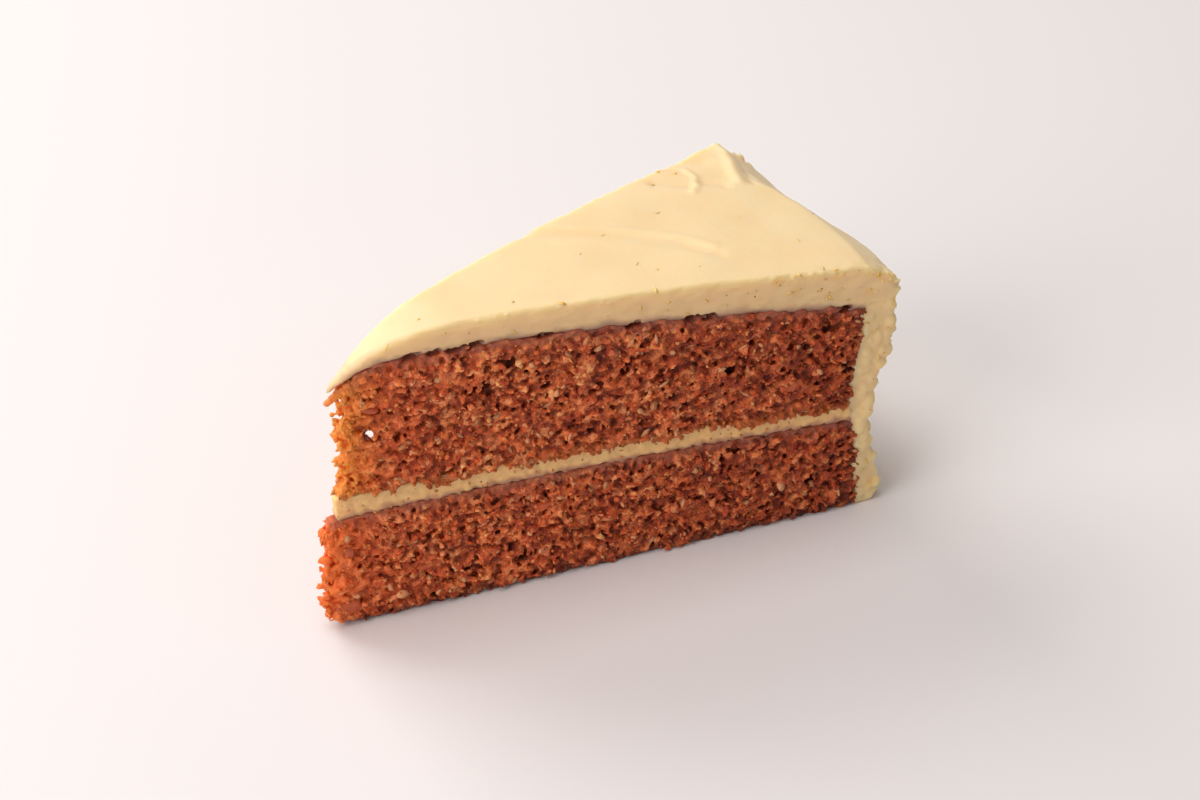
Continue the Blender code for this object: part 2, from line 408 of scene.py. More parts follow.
def scatter(name, hosts, material, **sizes):
    """One mesh of small rounded bits strewn over the surfaces of other pieces. It is made by
    Geometry Nodes, which stretch, turn and dent a coarse ball at each point."""
    kinds = {"Bits per square metre": "Float", "Where": "String", "Least radii": "Vector",
             "Most radii": "Vector", "Most turn": "Vector", "Dents": "Float", "Seed": "Int"}
    tree = bpy.data.node_groups.new(name, "GeometryNodeTree")
    tree.interface.new_socket("Geometry", in_out="OUTPUT", socket_type="NodeSocketGeometry")
    for key, kind in kinds.items():
        tree.interface.new_socket(key, in_out="INPUT", socket_type="NodeSocket" + kind)
    given = add(tree, "NodeGroupInput").outputs
    joined = add(tree, "GeometryNodeJoinGeometry")
    for host in hosts:
        source = add(tree, "GeometryNodeObjectInfo", {"Object": host})
        tree.links.new(source.outputs["Geometry"], joined.inputs["Geometry"])
    where = add(tree, "GeometryNodeInputNamedAttribute", {"Name": given["Where"]})
    density = add(tree, "ShaderNodeMath", {0: where.outputs["Attribute"],
                                           1: given["Bits per square metre"]}, operation="MULTIPLY")
    spots = add(tree, "GeometryNodeDistributePointsOnFaces",
                {"Mesh": joined.outputs["Geometry"], "Density": density.outputs[0],
                 "Seed": given["Seed"]})
    ball = add(tree, "GeometryNodeMeshIcoSphere", {"Radius": 1.0, "Subdivisions": 1})
    radii = add(tree, "FunctionNodeRandomValue", {0: given["Least radii"], 1: given["Most radii"],
                                                  "Seed": 1}, data_type="FLOAT_VECTOR")
    back = add(tree, "ShaderNodeVectorMath", {0: given["Most turn"], "Scale": -1.0},
               operation="SCALE")
    turn = add(tree, "FunctionNodeRandomValue", {0: back.outputs[0], 1: given["Most turn"],
                                                 "Seed": 2}, data_type="FLOAT_VECTOR")
    turned = add(tree, "FunctionNodeRotateRotation",
                 {"Rotation": spots.outputs["Rotation"], "Rotate By": turn.outputs[0]},
                 rotation_space="LOCAL")
    bits = add(tree, "GeometryNodeInstanceOnPoints",
               {"Points": spots.outputs["Points"], "Instance": ball.outputs["Mesh"],
                "Rotation": turned.outputs[0], "Scale": radii.outputs[0]})
    shade = add(tree, "FunctionNodeRandomValue", {"Seed": 3}, data_type="FLOAT")
    shaded = add(tree, "GeometryNodeStoreNamedAttribute",
                 {"Geometry": bits.outputs["Instances"], "Name": "shade",
                  "Value": shade.outputs[1]}, data_type="FLOAT", domain="INSTANCE")
    real = add(tree, "GeometryNodeRealizeInstances", {"Geometry": shaded.outputs["Geometry"]})
    noise = add(tree, "ShaderNodeTexNoise", {"Scale": 1500.0})
    centred = add(tree, "ShaderNodeVectorMath", {0: noise.outputs["Color"], 1: (0.5, 0.5, 0.5)},
                  operation="SUBTRACT")
    dents = add(tree, "ShaderNodeVectorMath", {0: centred.outputs[0], "Scale": given["Dents"]},
                operation="SCALE")
    dented = add(tree, "GeometryNodeSetPosition",
                 {"Geometry": real.outputs["Geometry"], "Offset": dents.outputs[0]})
    smooth = add(tree, "GeometryNodeSetShadeSmooth", {"Geometry": dented.outputs["Geometry"]})
    painted = add(tree, "GeometryNodeSetMaterial", {"Geometry": smooth.outputs["Geometry"],
                                                    "Material": material})
    add(tree, "NodeGroupOutput", {"Geometry": painted.outputs["Geometry"]})
    piece = bpy.data.objects.new(name, bpy.data.meshes.new(name))
    bpy.context.collection.objects.link(piece)
    modifier = piece.modifiers.new("strewn", "NODES")
    modifier.node_group = tree
    for socket in tree.interface.items_tree:
        if socket.in_out == "INPUT":
            modifier[socket.identifier] = sizes[socket.name.lower().replace(" ", "_")]
    bake(piece)
    return piece


def lower_bottom(r):
    return 0.0 * r


def lower_top(r):
    return (29.4 - 5.2 * (r / RIM_RADIUS) ** 2) * MM


TIN_BROWN = (0.085, 0.015, 0.004)
LOWER_PAINTED_GLOW = (1.0, 0.20, 0.035)           # painted glow, standing in for light through the thin point
LOWER_TIP = 0.4 * MM
TIP_LIFT = 2.2 * MM                      # of the base under the point, fading over LIFT_REACH
LIFT_REACH = 6.0 * MM
TABLE_GAP = 0.05 * MM
GRAIN_RADII = ((0.2 * MM, 0.2 * MM, 0.15 * MM), (0.85 * MM, 0.7 * MM, 0.5 * MM))
GRAIN_DENSITY = 0.36e6
lower_values, lower_places = node_field("lower_sponge", CRUMB_STEP, CRUMB_BAND)
torn_crumb(lower_values, lower_places, 11, lower_bottom, lower_top, LOWER_TIP)
lifted = TIP_LIFT * np.exp(-np.clip(lower_places[0] - axis_x, 0, None) / LIFT_REACH)
lower_values = np.maximum(lower_values, lifted + TABLE_GAP - lower_places[2]).astype(np.float32)
lower_values = np.maximum(lower_values, 0.05 * MM - lower_places[2])
lower_sponge = skin("lower_sponge_crumb", lower_values, lower_places)
lower_at = vertex_places(lower_sponge)
thin_out(lower_sponge, cut_distance(lower_at[:, 0], lower_at[:, 1]) < -2.6 * MM)
crumb_marks(lower_sponge, 21, lower_bottom, lower_top, 2.4 * MM, LOWER_TIP)
lower_sponge.data.materials.append(
    sponge_material("lower_carrot_crumb", 0.0, TIN_BROWN, LOWER_PAINTED_GLOW))
lower_grains = scatter(
    "lower_sponge_grains", [lower_sponge],
    sponge_material("lower_loose_crumb", 2.0, TIN_BROWN, LOWER_PAINTED_GLOW, loose=True),
    bits_per_square_metre=GRAIN_DENSITY, where="open_crumb", least_radii=GRAIN_RADII[0],
    most_radii=GRAIN_RADII[1], most_turn=(math.pi,) * 3, dents=0.35 * MM, seed=1)
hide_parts("lower_sponge")
for piece in (lower_sponge, lower_grains):
    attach(piece, "root")

# ---------------------------------------------------------------------------------------
# Filling. A thin layer of the same frosting, spread on the lower sponge and pressed by the
# upper one, so crumbs stick in it and the knife drags it a little.
FILLING_STEP = 0.4 * MM
FILLING_CREAM = (1.0, 0.58, 0.24)
ZEST_YELLOW = (0.95, 0.52, 0.12, 1.0)
CRUMB_STAIN = (0.38, 0.16, 0.12, 1.0)


def cream_material(name, shade, face_painted_light, seed, depth):
    """Cream-cheese frosting: pale and satin, with a deeper, warmer colour painted on the cut
    faces as painted light coming through the frosting there, soft smudges of zest, stained where
    crumb shows through (partly painted shade above the coat's joint), and lit from within to a depth."""
    material = bpy.data.materials.new(name)
    material.use_nodes = True
    tree = material.node_tree
    shader = tree.nodes["Principled BSDF"]
    place = add(tree, "ShaderNodeTexCoord").outputs["Object"]
    place = add(tree, "ShaderNodeMapping", {"Vector": place, "Location": (seed, 0, 0)}).outputs[0]
    cloud = add(tree, "ShaderNodeTexNoise", {"Vector": place, "Scale": 90.0, "Detail": 4.0})
    tone = add(tree, "ShaderNodeMapRange", {"Value": cloud.outputs["Fac"], "From Min": 0.35,
                                           "From Max": 0.65, "To Min": 0.0, "To Max": 1.0})
    deeper = (shade[0] * 0.98, shade[1] * 0.96, shade[2] * 0.91, 1.0)
    colour = blend(tree, tone.outputs["Result"], deeper, (*shade, 1.0))
    # Painted light: the cut faces get a deeper, warmer colour standing in for light coming through the
    # frosting
    colour = blend(tree, attribute(tree, "cut_face"), colour, (*face_painted_light, 1.0))
    drops = add(tree, "ShaderNodeTexVoronoi", {"Vector": place, "Scale": 170.0})
    smudge = add(tree, "ShaderNodeMapRange", {"Value": drops.outputs["Distance"], "From Min": 0.30,
                                             "From Max": 0.06, "To Min": 0.0, "To Max": 0.6})
    smudged = add(tree, "ShaderNodeMath", {0: smudge.outputs["Result"],
                                           1: attribute(tree, "zest_room")}, operation="MULTIPLY")
    colour = blend(tree, smudged.outputs[0], colour, ZEST_YELLOW)
    colour = blend(tree, attribute(tree, "film"), colour, CRUMB_STAIN)
    tree.links.new(colour, shader.inputs["Base Color"])
    fine = add(tree, "ShaderNodeTexNoise", {"Vector": place, "Scale": 900.0, "Detail": 3.0})
    bump = add(tree, "ShaderNodeBump", {"Height": fine.outputs["Fac"], "Strength": 0.12,
                                       "Distance": 0.4 * MM})
    tree.links.new(bump.outputs["Normal"], shader.inputs["Normal"])
    shader.inputs["Roughness"].default_value = 0.48
    shader.inputs["Subsurface Weight"].default_value = 0.8
    shader.inputs["Subsurface Radius"].default_value = (1.0, 0.8, 0.5)
    shader.inputs["Subsurface Scale"].default_value = depth
    return material


def speck_material(name, dark, pale, roughness):
    """Small bits, each with a shade of its own between two colours, a little see-through."""
    material = bpy.data.materials.new(name)
    material.use_nodes = True
    tree = material.node_tree
    shader = tree.nodes["Principled BSDF"]
    place = add(tree, "ShaderNodeTexCoord").outputs["Object"]
    cloud = add(tree, "ShaderNodeTexNoise", {"Vector": place, "Scale": 1400.0, "Detail": 2.0})
    level = add(tree, "ShaderNodeMath", {0: attribute(tree, "shade"), 1: cloud.outputs["Fac"]},
                operation="ADD")
    level = add(tree, "ShaderNodeMath", {0: level.outputs[0], 1: 0.25}, operation="SUBTRACT")
    tree.links.new(blend(tree, level.outputs[0], (*dark, 1.0), (*pale, 1.0)),
                   shader.inputs["Base Color"])
    shader.inputs["Roughness"].default_value = roughness
    shader.inputs["Subsurface Weight"].default_value = 0.3
    shader.inputs["Subsurface Radius"].default_value = (1.0, 0.8, 0.6)
    shader.inputs["Subsurface Scale"].default_value = 0.25 * MM
    return material


filling_values, filling_places = node_field("filling", FILLING_STEP, 2.4 * MM)
filling_cut = cut_distance(filling_places[0], filling_places[1])
filling_values -= 0.4 * MM
filling_values = np.maximum(filling_values, filling_cut + 0.1 * MM)
filling_values += 0.10 * MM * lumps(filling_values.shape, 8.0, 31)
filling_values += 0.06 * MM * lumps(filling_values.shape, 3.5, 32)
filling = skin("filling_frosting", filling_values, filling_places)
filling_at = vertex_places(filling)
thin_out(filling, cut_distance(filling_at[:, 0], filling_at[:, 1]) < -2.6 * MM)
filling_at = vertex_places(filling)
above = filling_at[:, 2] - lower_top(filling_at[:, 0] - axis_x)
film_width = 1.5 * MM * np.clip(1 + 0.4 * mottle(filling_at, (4 * MM,) * 3, 33), 0.3, 2)
set_attribute(filling, "film", np.clip(0.95 - above / film_width, 0, 0.85))
set_attribute(filling, "cut_face", cut_distance(filling_at[:, 0], filling_at[:, 1]) > -0.8 * MM)
filling.data.materials.append(
    cream_material("filling_cream", FILLING_CREAM, FILLING_CREAM, 3.0, 1.5 * MM))
stuck_crumbs = scatter(
    "stuck_crumbs", [filling],
    speck_material("stuck_crumb", (0.30, 0.07, 0.015), (0.75, 0.30, 0.09), 0.6),
    bits_per_square_metre=0.11e6, where="cut_face", least_radii=(0.12 * MM, 0.12 * MM, 0.1 * MM),
    most_radii=(0.55 * MM, 0.5 * MM, 0.3 * MM), most_turn=(0.4, 0.4, math.pi), dents=0.3 * MM,
    seed=4)
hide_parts("filling")
for piece in (filling, stuck_crumbs):
    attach(piece, "root")

# ---------------------------------------------------------------------------------------
# Upper sponge. The second baked layer, set on the filling: taller, worn back at the point,
# its underside hanging in small crumbs over the filling, its top rising in low mounds.
# A slanting hole through the thin point: along, across, height at either end, and radius, mm.
THROUGH_HOLE = ((10.2, -3.2, 50.9), (15.6, 4.6, 43.6), 1.15)
NOTCHES = ((6.0, 58.4, 1.8, 0.9), (5.2, 45.0, 1.2, 0.9))
DARK_PORES = ((36.5, 56.0, 1.3, 1.3), (50.0, 53.0, 1.3, 1.0), (62.0, 49.0, 1.0, 0.8),
              (43.0, 48.5, 0.9, 0.7), (79.0, 42.0, 1.2, 0.7), (97.0, 52.0, 0.8, 0.8))
JOINT_CRACKS = ((21.0, 1.8), (25.5, 1.4), (30.5, 2.4), (34.5, 1.3), (50.0, 1.6), (70.0, 1.3),
                (83.0, 1.5), (86.5, 1.2), (118.5, 1.2))
MOUNDS = ((14, 2.5, 0.7), (41, 2.0, 0.8), (57, 2.6, 0.8), (64, 2.0, 0.6), (76, 2.4, 0.9),
          (92, 2.2, 0.6), (101, 2.4, 1.3), (108, 1.8, 0.7), (115, 2.6, 1.5))
PAN_ORANGE = (0.50, 0.13, 0.022)


# Painted orange glow at the upper sponge's thin point, standing in for light shining through it
UPPER_PAINTED_GLOW = (1.0, 0.30, 0.045)
UPPER_TIP = 4.6 * MM
# Crumb held under the frosting's point: along, height, half length and half height, mm.
NOSE_CRUMBS = ((6.2, 61.9, 2.0, 0.9), (4.7, 61.1, 1.6, 0.6), (3.4, 60.4, 1.0, 0.45),
               (2.6, 59.9, 0.6, 0.35))


def upper_bottom(r):
    return (34.9 - 6.4 * (r / RIM_RADIUS) ** 2) * MM


def upper_top(r):
    worn = 8.5 * np.clip(1 - np.abs(r) / (20 * MM), 0, None) ** 2.5
    return (68.2 - 13.8 * (r / (124 * MM)) ** 2 - worn) * MM


upper_values, upper_places = node_field("upper_sponge", CRUMB_STEP, CRUMB_BAND)
rng = np.random.default_rng(41)
for side in (-1, 1):
    for _ in range(75):
        along = rng.uniform(6, 120) * MM
        width = rng.uniform(0.8, 2.6) * MM
        drop = rng.uniform(0.5, 1.4) * (0.6 * MM + 0.4 * width)
        centre = on_cut(along, side, 0.5 * MM, upper_bottom(along) + 0.1 * MM)
        mould(upper_values, upper_places, centre, (width, 1.1 * MM, drop), True)
torn_crumb(upper_values, upper_places, 51, upper_bottom, upper_top, UPPER_TIP)
for side in (-1, 1):
    for along, width, rise in MOUNDS:
        along = (along if side < 0 else rng.uniform(10, 118)) * MM
        centre = on_cut(along, side, 1.0 * MM, upper_top(along))
        mould(upper_values, upper_places, centre, (width * MM, 1.25 * MM, rise * MM), True)
    for along, length in JOINT_CRACKS:
        along = (along if side < 0 else rng.uniform(10, 118)) * MM
        crack(upper_values, upper_places, rng, along, side, upper_top(along) - 0.2 * MM, length * MM)
for along, height, half_width, half_height in DARK_PORES:
    centre = on_cut(along * MM, -1, 0.3 * MM, height * MM)
    mould(upper_values, upper_places, centre, (half_width * MM, 1.5 * MM, half_height * MM), False)
for along, height, half_width, half_height in NOTCHES:
    centre = (axis_x + along * MM, 0.0, height * MM)
    mould(upper_values, upper_places, centre, (half_width * MM, 9 * MM, half_height * MM), False)
for along, height, half_length, half_height in NOSE_CRUMBS:
    centre = (axis_x + along * MM, 0.0, height * MM)
    mould(upper_values, upper_places, centre, (half_length * MM, 1.0 * MM, half_height * MM), True)
near_end, far_end, hole_radius = THROUGH_HOLE
for t in np.linspace(0, 1, 12):
    centre = (Vector(near_end).lerp(Vector(far_end), t) + Vector((axis_x / MM, 0, 0))) * MM
    mould(upper_values, upper_places, centre, (hole_radius * MM,) * 3, False)
upper_sponge = skin("upper_sponge_crumb", upper_values, upper_places)
upper_at = vertex_places(upper_sponge)
thin_out(upper_sponge, cut_distance(upper_at[:, 0], upper_at[:, 1]) < -2.6 * MM)
crumb_marks(upper_sponge, 61, upper_bottom, upper_top, 1.1 * MM, UPPER_TIP)
upper_sponge.data.materials.append(
    sponge_material("upper_carrot_crumb", 7.0, PAN_ORANGE, UPPER_PAINTED_GLOW))
upper_grains = scatter(
    "upper_sponge_grains", [upper_sponge],
    sponge_material("upper_loose_crumb", 9.0, PAN_ORANGE, UPPER_PAINTED_GLOW, loose=True),
    bits_per_square_metre=GRAIN_DENSITY, where="open_crumb", least_radii=GRAIN_RADII[0],
    most_radii=GRAIN_RADII[1], most_turn=(math.pi,) * 3, dents=0.35 * MM, seed=2)
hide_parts("upper_sponge")
for piece in (upper_sponge, upper_grains):
    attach(piece, "root")

# ---------------------------------------------------------------------------------------
# Carrot and nuts in the crumb. Grated carrot cooked soft, cut flush by the knife, and pale
# chips of nut, all baked into both sponges.
SHREDS = ((106, 38, 5.0, 8, 1.4), (50, 21, 6.0, 12, 0.95), (22, 11.5, 7.0, 8, 1.0),
          (4.8, 5.0, 6.0, 20, 2.3), (5.0, 18.5, 7.0, 70, 1.5), (46, 26.0, 4.0, 20, 0.8),
          (11, 57, 5.0, -30, 1.1), (58, 50, 4.0, 60, 0.8), (88, 14, 5.0, -10, 0.8))
far_rng = np.random.default_rng(81)
FAR_SHREDS = [(far_rng.uniform(8, 115), height, far_rng.uniform(4, 8), far_rng.uniform(-60, 60),
               far_rng.uniform(0.8, 1.4)) for height in (6, 12, 17, 22, 40, 44, 47, 52, 56)]


def strands(name, paths, material, **sizes):
    """One mesh of round strands with tapered ends, each along its own path, by Geometry Nodes."""
    tree = bpy.data.node_groups.new(name, "GeometryNodeTree")
    tree.interface.new_socket("Geometry", in_out="OUTPUT", socket_type="NodeSocketGeometry")
    tree.interface.new_socket("Geometry", in_out="INPUT", socket_type="NodeSocketGeometry")
    tree.interface.new_socket("Step", in_out="INPUT", socket_type="NodeSocketFloat")
    tree.interface.new_socket("Dents", in_out="INPUT", socket_type="NodeSocketFloat")
    given = add(tree, "NodeGroupInput").outputs
    curve = add(tree, "GeometryNodeMeshToCurve", {"Mesh": given["Geometry"]})
    fine = add(tree, "GeometryNodeResampleCurve", {"Curve": curve.outputs["Curve"],
                                                   "Length": given["Step"]}, mode="LENGTH")
    spline = add(tree, "GeometryNodeSplineParameter")
    taper = add(tree, "ShaderNodeFloatCurve", {"Value": spline.outputs["Factor"]})
    points = taper.mapping.curves[0].points
    points[0].location, points[1].location = (0.0, 0.25), (1.0, 0.25)
    for at, full in ((0.15, 0.85), (0.5, 1.0), (0.85, 0.85)):
        points.new(at, full)
    taper.mapping.update()
    width = add(tree, "GeometryNodeInputNamedAttribute", {"Name": "width"})
    radius = add(tree, "ShaderNodeMath", {0: taper.outputs[0], 1: width.outputs["Attribute"]},
                 operation="MULTIPLY")
    section = add(tree, "GeometryNodeCurvePrimitiveCircle", {"Resolution": 10, "Radius": 1.0})
    swept = add(tree, "GeometryNodeCurveToMesh", {"Curve": fine.outputs["Curve"],
                                                  "Profile Curve": section.outputs["Curve"],
                                                  "Scale": radius.outputs[0], "Fill Caps": True})
    noise = add(tree, "ShaderNodeTexNoise", {"Scale": 500.0})
    centred = add(tree, "ShaderNodeVectorMath", {0: noise.outputs["Color"], 1: (0.5, 0.5, 0.5)},
                  operation="SUBTRACT")
    dents = add(tree, "ShaderNodeVectorMath", {0: centred.outputs[0], "Scale": given["Dents"]},
                operation="SCALE")
    dented = add(tree, "GeometryNodeSetPosition", {"Geometry": swept.outputs["Mesh"],
                                                   "Offset": dents.outputs[0]})
    smooth = add(tree, "GeometryNodeSetShadeSmooth", {"Geometry": dented.outputs["Geometry"]})
    real = add(tree, "GeometryNodeRealizeInstances", {"Geometry": smooth.outputs["Geometry"]})
    painted = add(tree, "GeometryNodeSetMaterial", {"Geometry": real.outputs["Geometry"],
                                                    "Material": material})
    add(tree, "NodeGroupOutput", {"Geometry": painted.outputs["Geometry"]})
    mesh = bpy.data.meshes.new(name)
    corners = [corner for path, _ in paths for corner in path]
    starts = np.cumsum([0] + [len(path) for path, _ in paths])
    edges = [(i, i + 1) for a, b in zip(starts, starts[1:]) for i in range(a, b - 1)]
    mesh.from_pydata(corners, edges, [])
    piece = bpy.data.objects.new(name, mesh)
    set_attribute(piece, "width", [width for path, width in paths for _ in path])
    bpy.context.collection.objects.link(piece)
    modifier = piece.modifiers.new("swept", "NODES")
    modifier.node_group = tree
    for socket in tree.interface.items_tree:
        if socket.in_out == "INPUT" and socket.name != "Geometry":
            modifier[socket.identifier] = sizes[socket.name.lower()]
    bake(piece)
    return piece


shred_paths = []
for side, shreds in ((-1, SHREDS), (1, FAR_SHREDS)):
    for along, height, length, tilt, width in shreds:
        path = []
        for t in np.linspace(-0.5, 0.5, 7):
            bend = length * 0.35 * (t * t - 0.1)
            lean = math.radians(tilt)
            path.append(on_cut((along + length * t * math.cos(lean) - bend * math.sin(lean)) * MM, side,
                               width * 0.15 * MM,
                               (height + length * t * math.sin(lean) + bend * math.cos(lean)) * MM))
        shred_paths.append((path, width * MM))
shreds = strands("carrot_shreds", shred_paths,
                 speck_material("cooked_carrot", (0.52, 0.085, 0.022), (0.85, 0.17, 0.035), 0.45),
                 step=0.5 * MM, dents=0.5 * MM)
shred_at = vertex_places(shreds)
proud = cut_distance(shred_at[:, 0], shred_at[:, 1]) - 0.7 * MM
over_cut = np.clip(proud, 0, None)
shred_at[:, 1] -= np.sign(shred_at[:, 1]) * over_cut * np.where(np.abs(shred_at[:, 1]) > 0.3 * MM, 1, 0)
shreds.data.vertices.foreach_set("co", shred_at.ravel())
nut_chips = scatter(
    "nut_chips", [lower_sponge, upper_sponge],
    speck_material("pale_nut", (0.50, 0.17, 0.06), (0.80, 0.38, 0.17), 0.7),
    bits_per_square_metre=0.013e6, where="open_crumb",
    least_radii=(0.4 * MM, 0.3 * MM, 0.2 * MM), most_radii=(1.7 * MM, 1.0 * MM, 0.4 * MM),
    most_turn=(0.5, 0.5, math.pi), dents=0.6 * MM, seed=7)
for piece in (lower_grains, nut_chips):
    at = vertex_places(piece)
    at[:, 2] = np.maximum(at[:, 2], TABLE_GAP)
    piece.data.vertices.foreach_set("co", at.ravel())
for piece in (shreds, nut_chips):
    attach(piece, "root")

# ---------------------------------------------------------------------------------------
# Frosting. Cream-cheese frosting spread thick over the top and round the side with a
# palette knife, then cut through: smooth on top, dragged at the cuts, lumpy at the rim.
FROSTING_STEP = 0.45 * MM
COAT = ((0, 127.2), (3, 129.1), (9, 128.0), (15, 127.1), (22, 125.2), (31, 126.5), (38, 128.7),
        (47, 130.1), (56, 130.6), (70, 130.6))
CRUMB_RIM = ((0, 123.4), (7, 124.0), (18, 123.0), (26, 121.2), (32, 120.7), (47, 122.7),
             (58, 122.2), (75, 122.0))
# What the palette knife left on the top: lines of (along, across), half width and rise, in mm.
CREASE = ((59.6, 15.3), (67.2, 11.4), (75.9, 6.5), (84.0, 0.6), (89.1, -3.6), (93.1, -9.3))
KNIFE_LINES = (
    ([(along + 0.5, across + 1.1) for along, across in CREASE], 1.2, 0.30),
    ([(along - 0.6, across - 1.3) for along, across in CREASE], 1.9, -0.50),
    (((106.5, 21.0), (106.6, 17.5), (105.0, 14.5), (102.5, 12.4)), 0.9, 0.45),
    (((97.0, 19.0), (101.0, 16.5), (103.0, 15.0)), 1.6, -0.50),
    (((106.5, 15.0), (109.0, 13.5), (110.5, 12.0)), 1.3, -0.45),
    (((104.0, 25.0), (108.7, 24.2), (112.0, 23.0)), 2.0, -0.50),
    (((119.5, 27.0), (119.2, 23.6), (117.8, 19.6), (115.9, 15.9), (114.6, 12.0)), 1.5, 0.65),
    (((122.3, 26.0), (121.9, 22.0), (120.4, 18.5), (118.7, 14.5), (117.7, 11.0)), 1.4, -0.70))
# Where the top turns down to the side, and how steeply: (across, along the radius), in mm.
SHOULDER_LINE = ((-29, 123.4), (-19, 123.0), (-8, 122.4), (-1, 121.6), (6, 120.4), (10, 118.9),
                 (16, 119.4), (24, 122.8), (31, 123.2))
SHOULDER_SLOPE = ((-29, 0.55), (-18, 0.65), (-10, 0.80), (-3, 1.0), (6, 1.0), (12, 0.8), (31, 0.65))


def outline(points, height):
    """Distance from the axis on a smooth curve through an upright outline, in metres."""
    knots = np.array(points, float)
    slopes = np.gradient(knots[:, 1], knots[:, 0])
    at = np.clip(height / MM, knots[0, 0], knots[-1, 0])
    index = np.clip(np.searchsorted(knots[:, 0], at) - 1, 0, len(knots) - 2)
    span = knots[index + 1, 0] - knots[index, 0]
    t = (at - knots[index, 0]) / span
    start = (2 * t**3 - 3 * t**2 + 1) * knots[index, 1] + (t**3 - 2 * t**2 + t) * span * slopes[index]
    end = (3 * t**2 - 2 * t**3) * knots[index + 1, 1] + (t**3 - t**2) * span * slopes[index + 1]
    return ((start + end) * MM).astype(np.float32)


def soft_max(a, b, reach):
    """The greater of two distances, rounded over a reach where they cross."""
    near = np.clip(reach - np.abs(a - b), 0.0, None) / reach
    return np.maximum(a, b) + near * near * reach / 4


def frosting_top(x, y):
    """Height of the spread top, with the palette knife's marks and the shoulder's slope."""
    r = np.hypot(x - axis_x, y)
    height = 74.6 * MM - 9.3 * MM * (r / (124 * MM)) ** 2
    height = height - 13.1 * MM * np.clip(1 - r / (35 * MM), 0, None) ** 2.6
    for line, width, rise in KNIFE_LINES:
        nearest = np.full(height.shape, 1.0)
        for (ax, ay), (bx, by) in zip(line, line[1:]):
            px, py = x - axis_x - ax * MM, y - ay * MM
            run = np.array((bx - ax, by - ay)) * MM
            t = np.clip((px * run[0] + py * run[1]) / (run @ run), 0, 1)
            nearest = np.minimum(nearest, np.hypot(px - t * run[0], py - t * run[1]))
        height = height + rise * MM * np.exp(-(nearest / (width * MM)) ** 2)
    flat = np.stack(np.broadcast_arrays(x, y, 0.0 * x), axis=-1)
    height = height + 0.10 * MM * mottle(flat, (26 * MM, 16 * MM, 20 * MM), 74)
    beyond = r - np.interp(y / MM, *zip(*SHOULDER_LINE)) * MM
    slope = np.interp(y / MM, *zip(*SHOULDER_SLOPE))
    return height - slope * (np.hypot(np.clip(beyond + 0.4 * MM, 0, None), 0.6 * MM) - 0.6 * MM)


low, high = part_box("frosting")
first = [math.floor(c / FROSTING_STEP) - 5 for c in low]
counts = [math.ceil((b - a) / FROSTING_STEP) + 10 for a, b in zip(low, high)]
frosting_places = cell_places(first, counts, FROSTING_STEP)
x, y, z = frosting_places
r = np.hypot(x - axis_x, y)
top = frosting_top(x, y).astype(np.float32)
values = soft_max(z - top, r - outline(COAT, z), 3.0 * MM)
angle = np.arctan2(y, x - axis_x)
rim_start = axis_x + 117 * MM
rim_cells = slice(np.searchsorted(x.ravel(), rim_start), None)
round_rim = np.stack(np.broadcast_arrays(angle[rim_cells] * COAT_RADIUS, z, 0.0 * z), axis=-1)
strokes = 0.25 * MM * mottle(round_rim, (45 * MM, 6 * MM, 9 * MM), 75)
values[rim_cells] += strokes * np.clip((x[rim_cells] - rim_start) / (6 * MM), 0, 1)
inside = np.maximum(r - outline(CRUMB_RIM, z), z - upper_top(r)) + 0.5 * MM
values = np.maximum(values, -inside)
values = soft_max(values, 2.2 * MM - (x - axis_x), 1.2 * MM)
cut = cut_distance(x, y)
rough = lumps(counts, 10.0, 71) * 0.45 + lumps(counts, 5.0, 72) * 0.26
rim = np.clip((x - axis_x - 112 * MM) / (12 * MM), 0, 1) * np.clip(1 + cut / (9 * MM), 0, 1)
rim = rim * np.clip((67 * MM - z) / (8 * MM), 0.3, 1)
values = values + rough * rim * MM
drags = []
for side in (-1, 1):
    plane = np.stack(np.broadcast_arrays(x, 0.0 * x + side, z), axis=-1)
    drags.append(0.07 * mottle(plane, (16 * MM, 40 * MM, 1.5 * MM), 76)
                 + 0.10 * mottle(plane, (7 * MM, 40 * MM, 3.5 * MM), 77))
drag = np.where(y < 0, drags[0], drags[1]) * MM
rounding = 0.7 * MM + 2.2 * MM * np.exp(-np.clip(x - axis_x, 0, None) / (22 * MM))
values = soft_max(values, cut + 0.05 * MM + drag, rounding).astype(np.float32)
rng = np.random.default_rng(91)
for side in (-1, 1):
    for _ in range(150):
        along = 120 * rng.uniform(0.05, 1.0) ** 0.55 * MM
        edge_x, edge_y, _ = on_cut(along, side, 0.0, 0.0)
        edge = float(frosting_top(np.array([[edge_x]]), np.array([[edge_y]]))[0, 0])
        radius = rng.uniform(0.3, 0.7) * (0.3 + 0.7 * along / (120 * MM)) * MM
        centre = on_cut(along, side, 0.55 * radius, edge - rng.uniform(0.3, 1.8) * MM)
        mould(values, frosting_places, centre, (radius * 1.6, radius, radius * 0.7), True)
    for _ in range(90):
        height = rng.uniform(1, 58) * MM
        outer = float(outline(COAT, np.array([height]))[0])
        along = rng.uniform(123.0 * MM, outer - 0.2 * MM)
        radius = rng.uniform(0.7, 1.9) * MM
        centre = on_cut(along, side, rng.uniform(0.5, 0.8) * radius, height)
        mould(values, frosting_places, centre, (radius, radius, radius * 1.2), True)
    for along, length in JOINT_CRACKS if side < 0 else ():
        crack(values, frosting_places, rng, along * MM, side, upper_top(along * MM) + 0.1 * MM,
              length * MM)
values = np.maximum(values, 0.02 * MM - z)
frosting = skin("frosting_coat", values, frosting_places)
at = vertex_places(frosting)
reach = np.hypot(at[:, 0] - axis_x, at[:, 1])
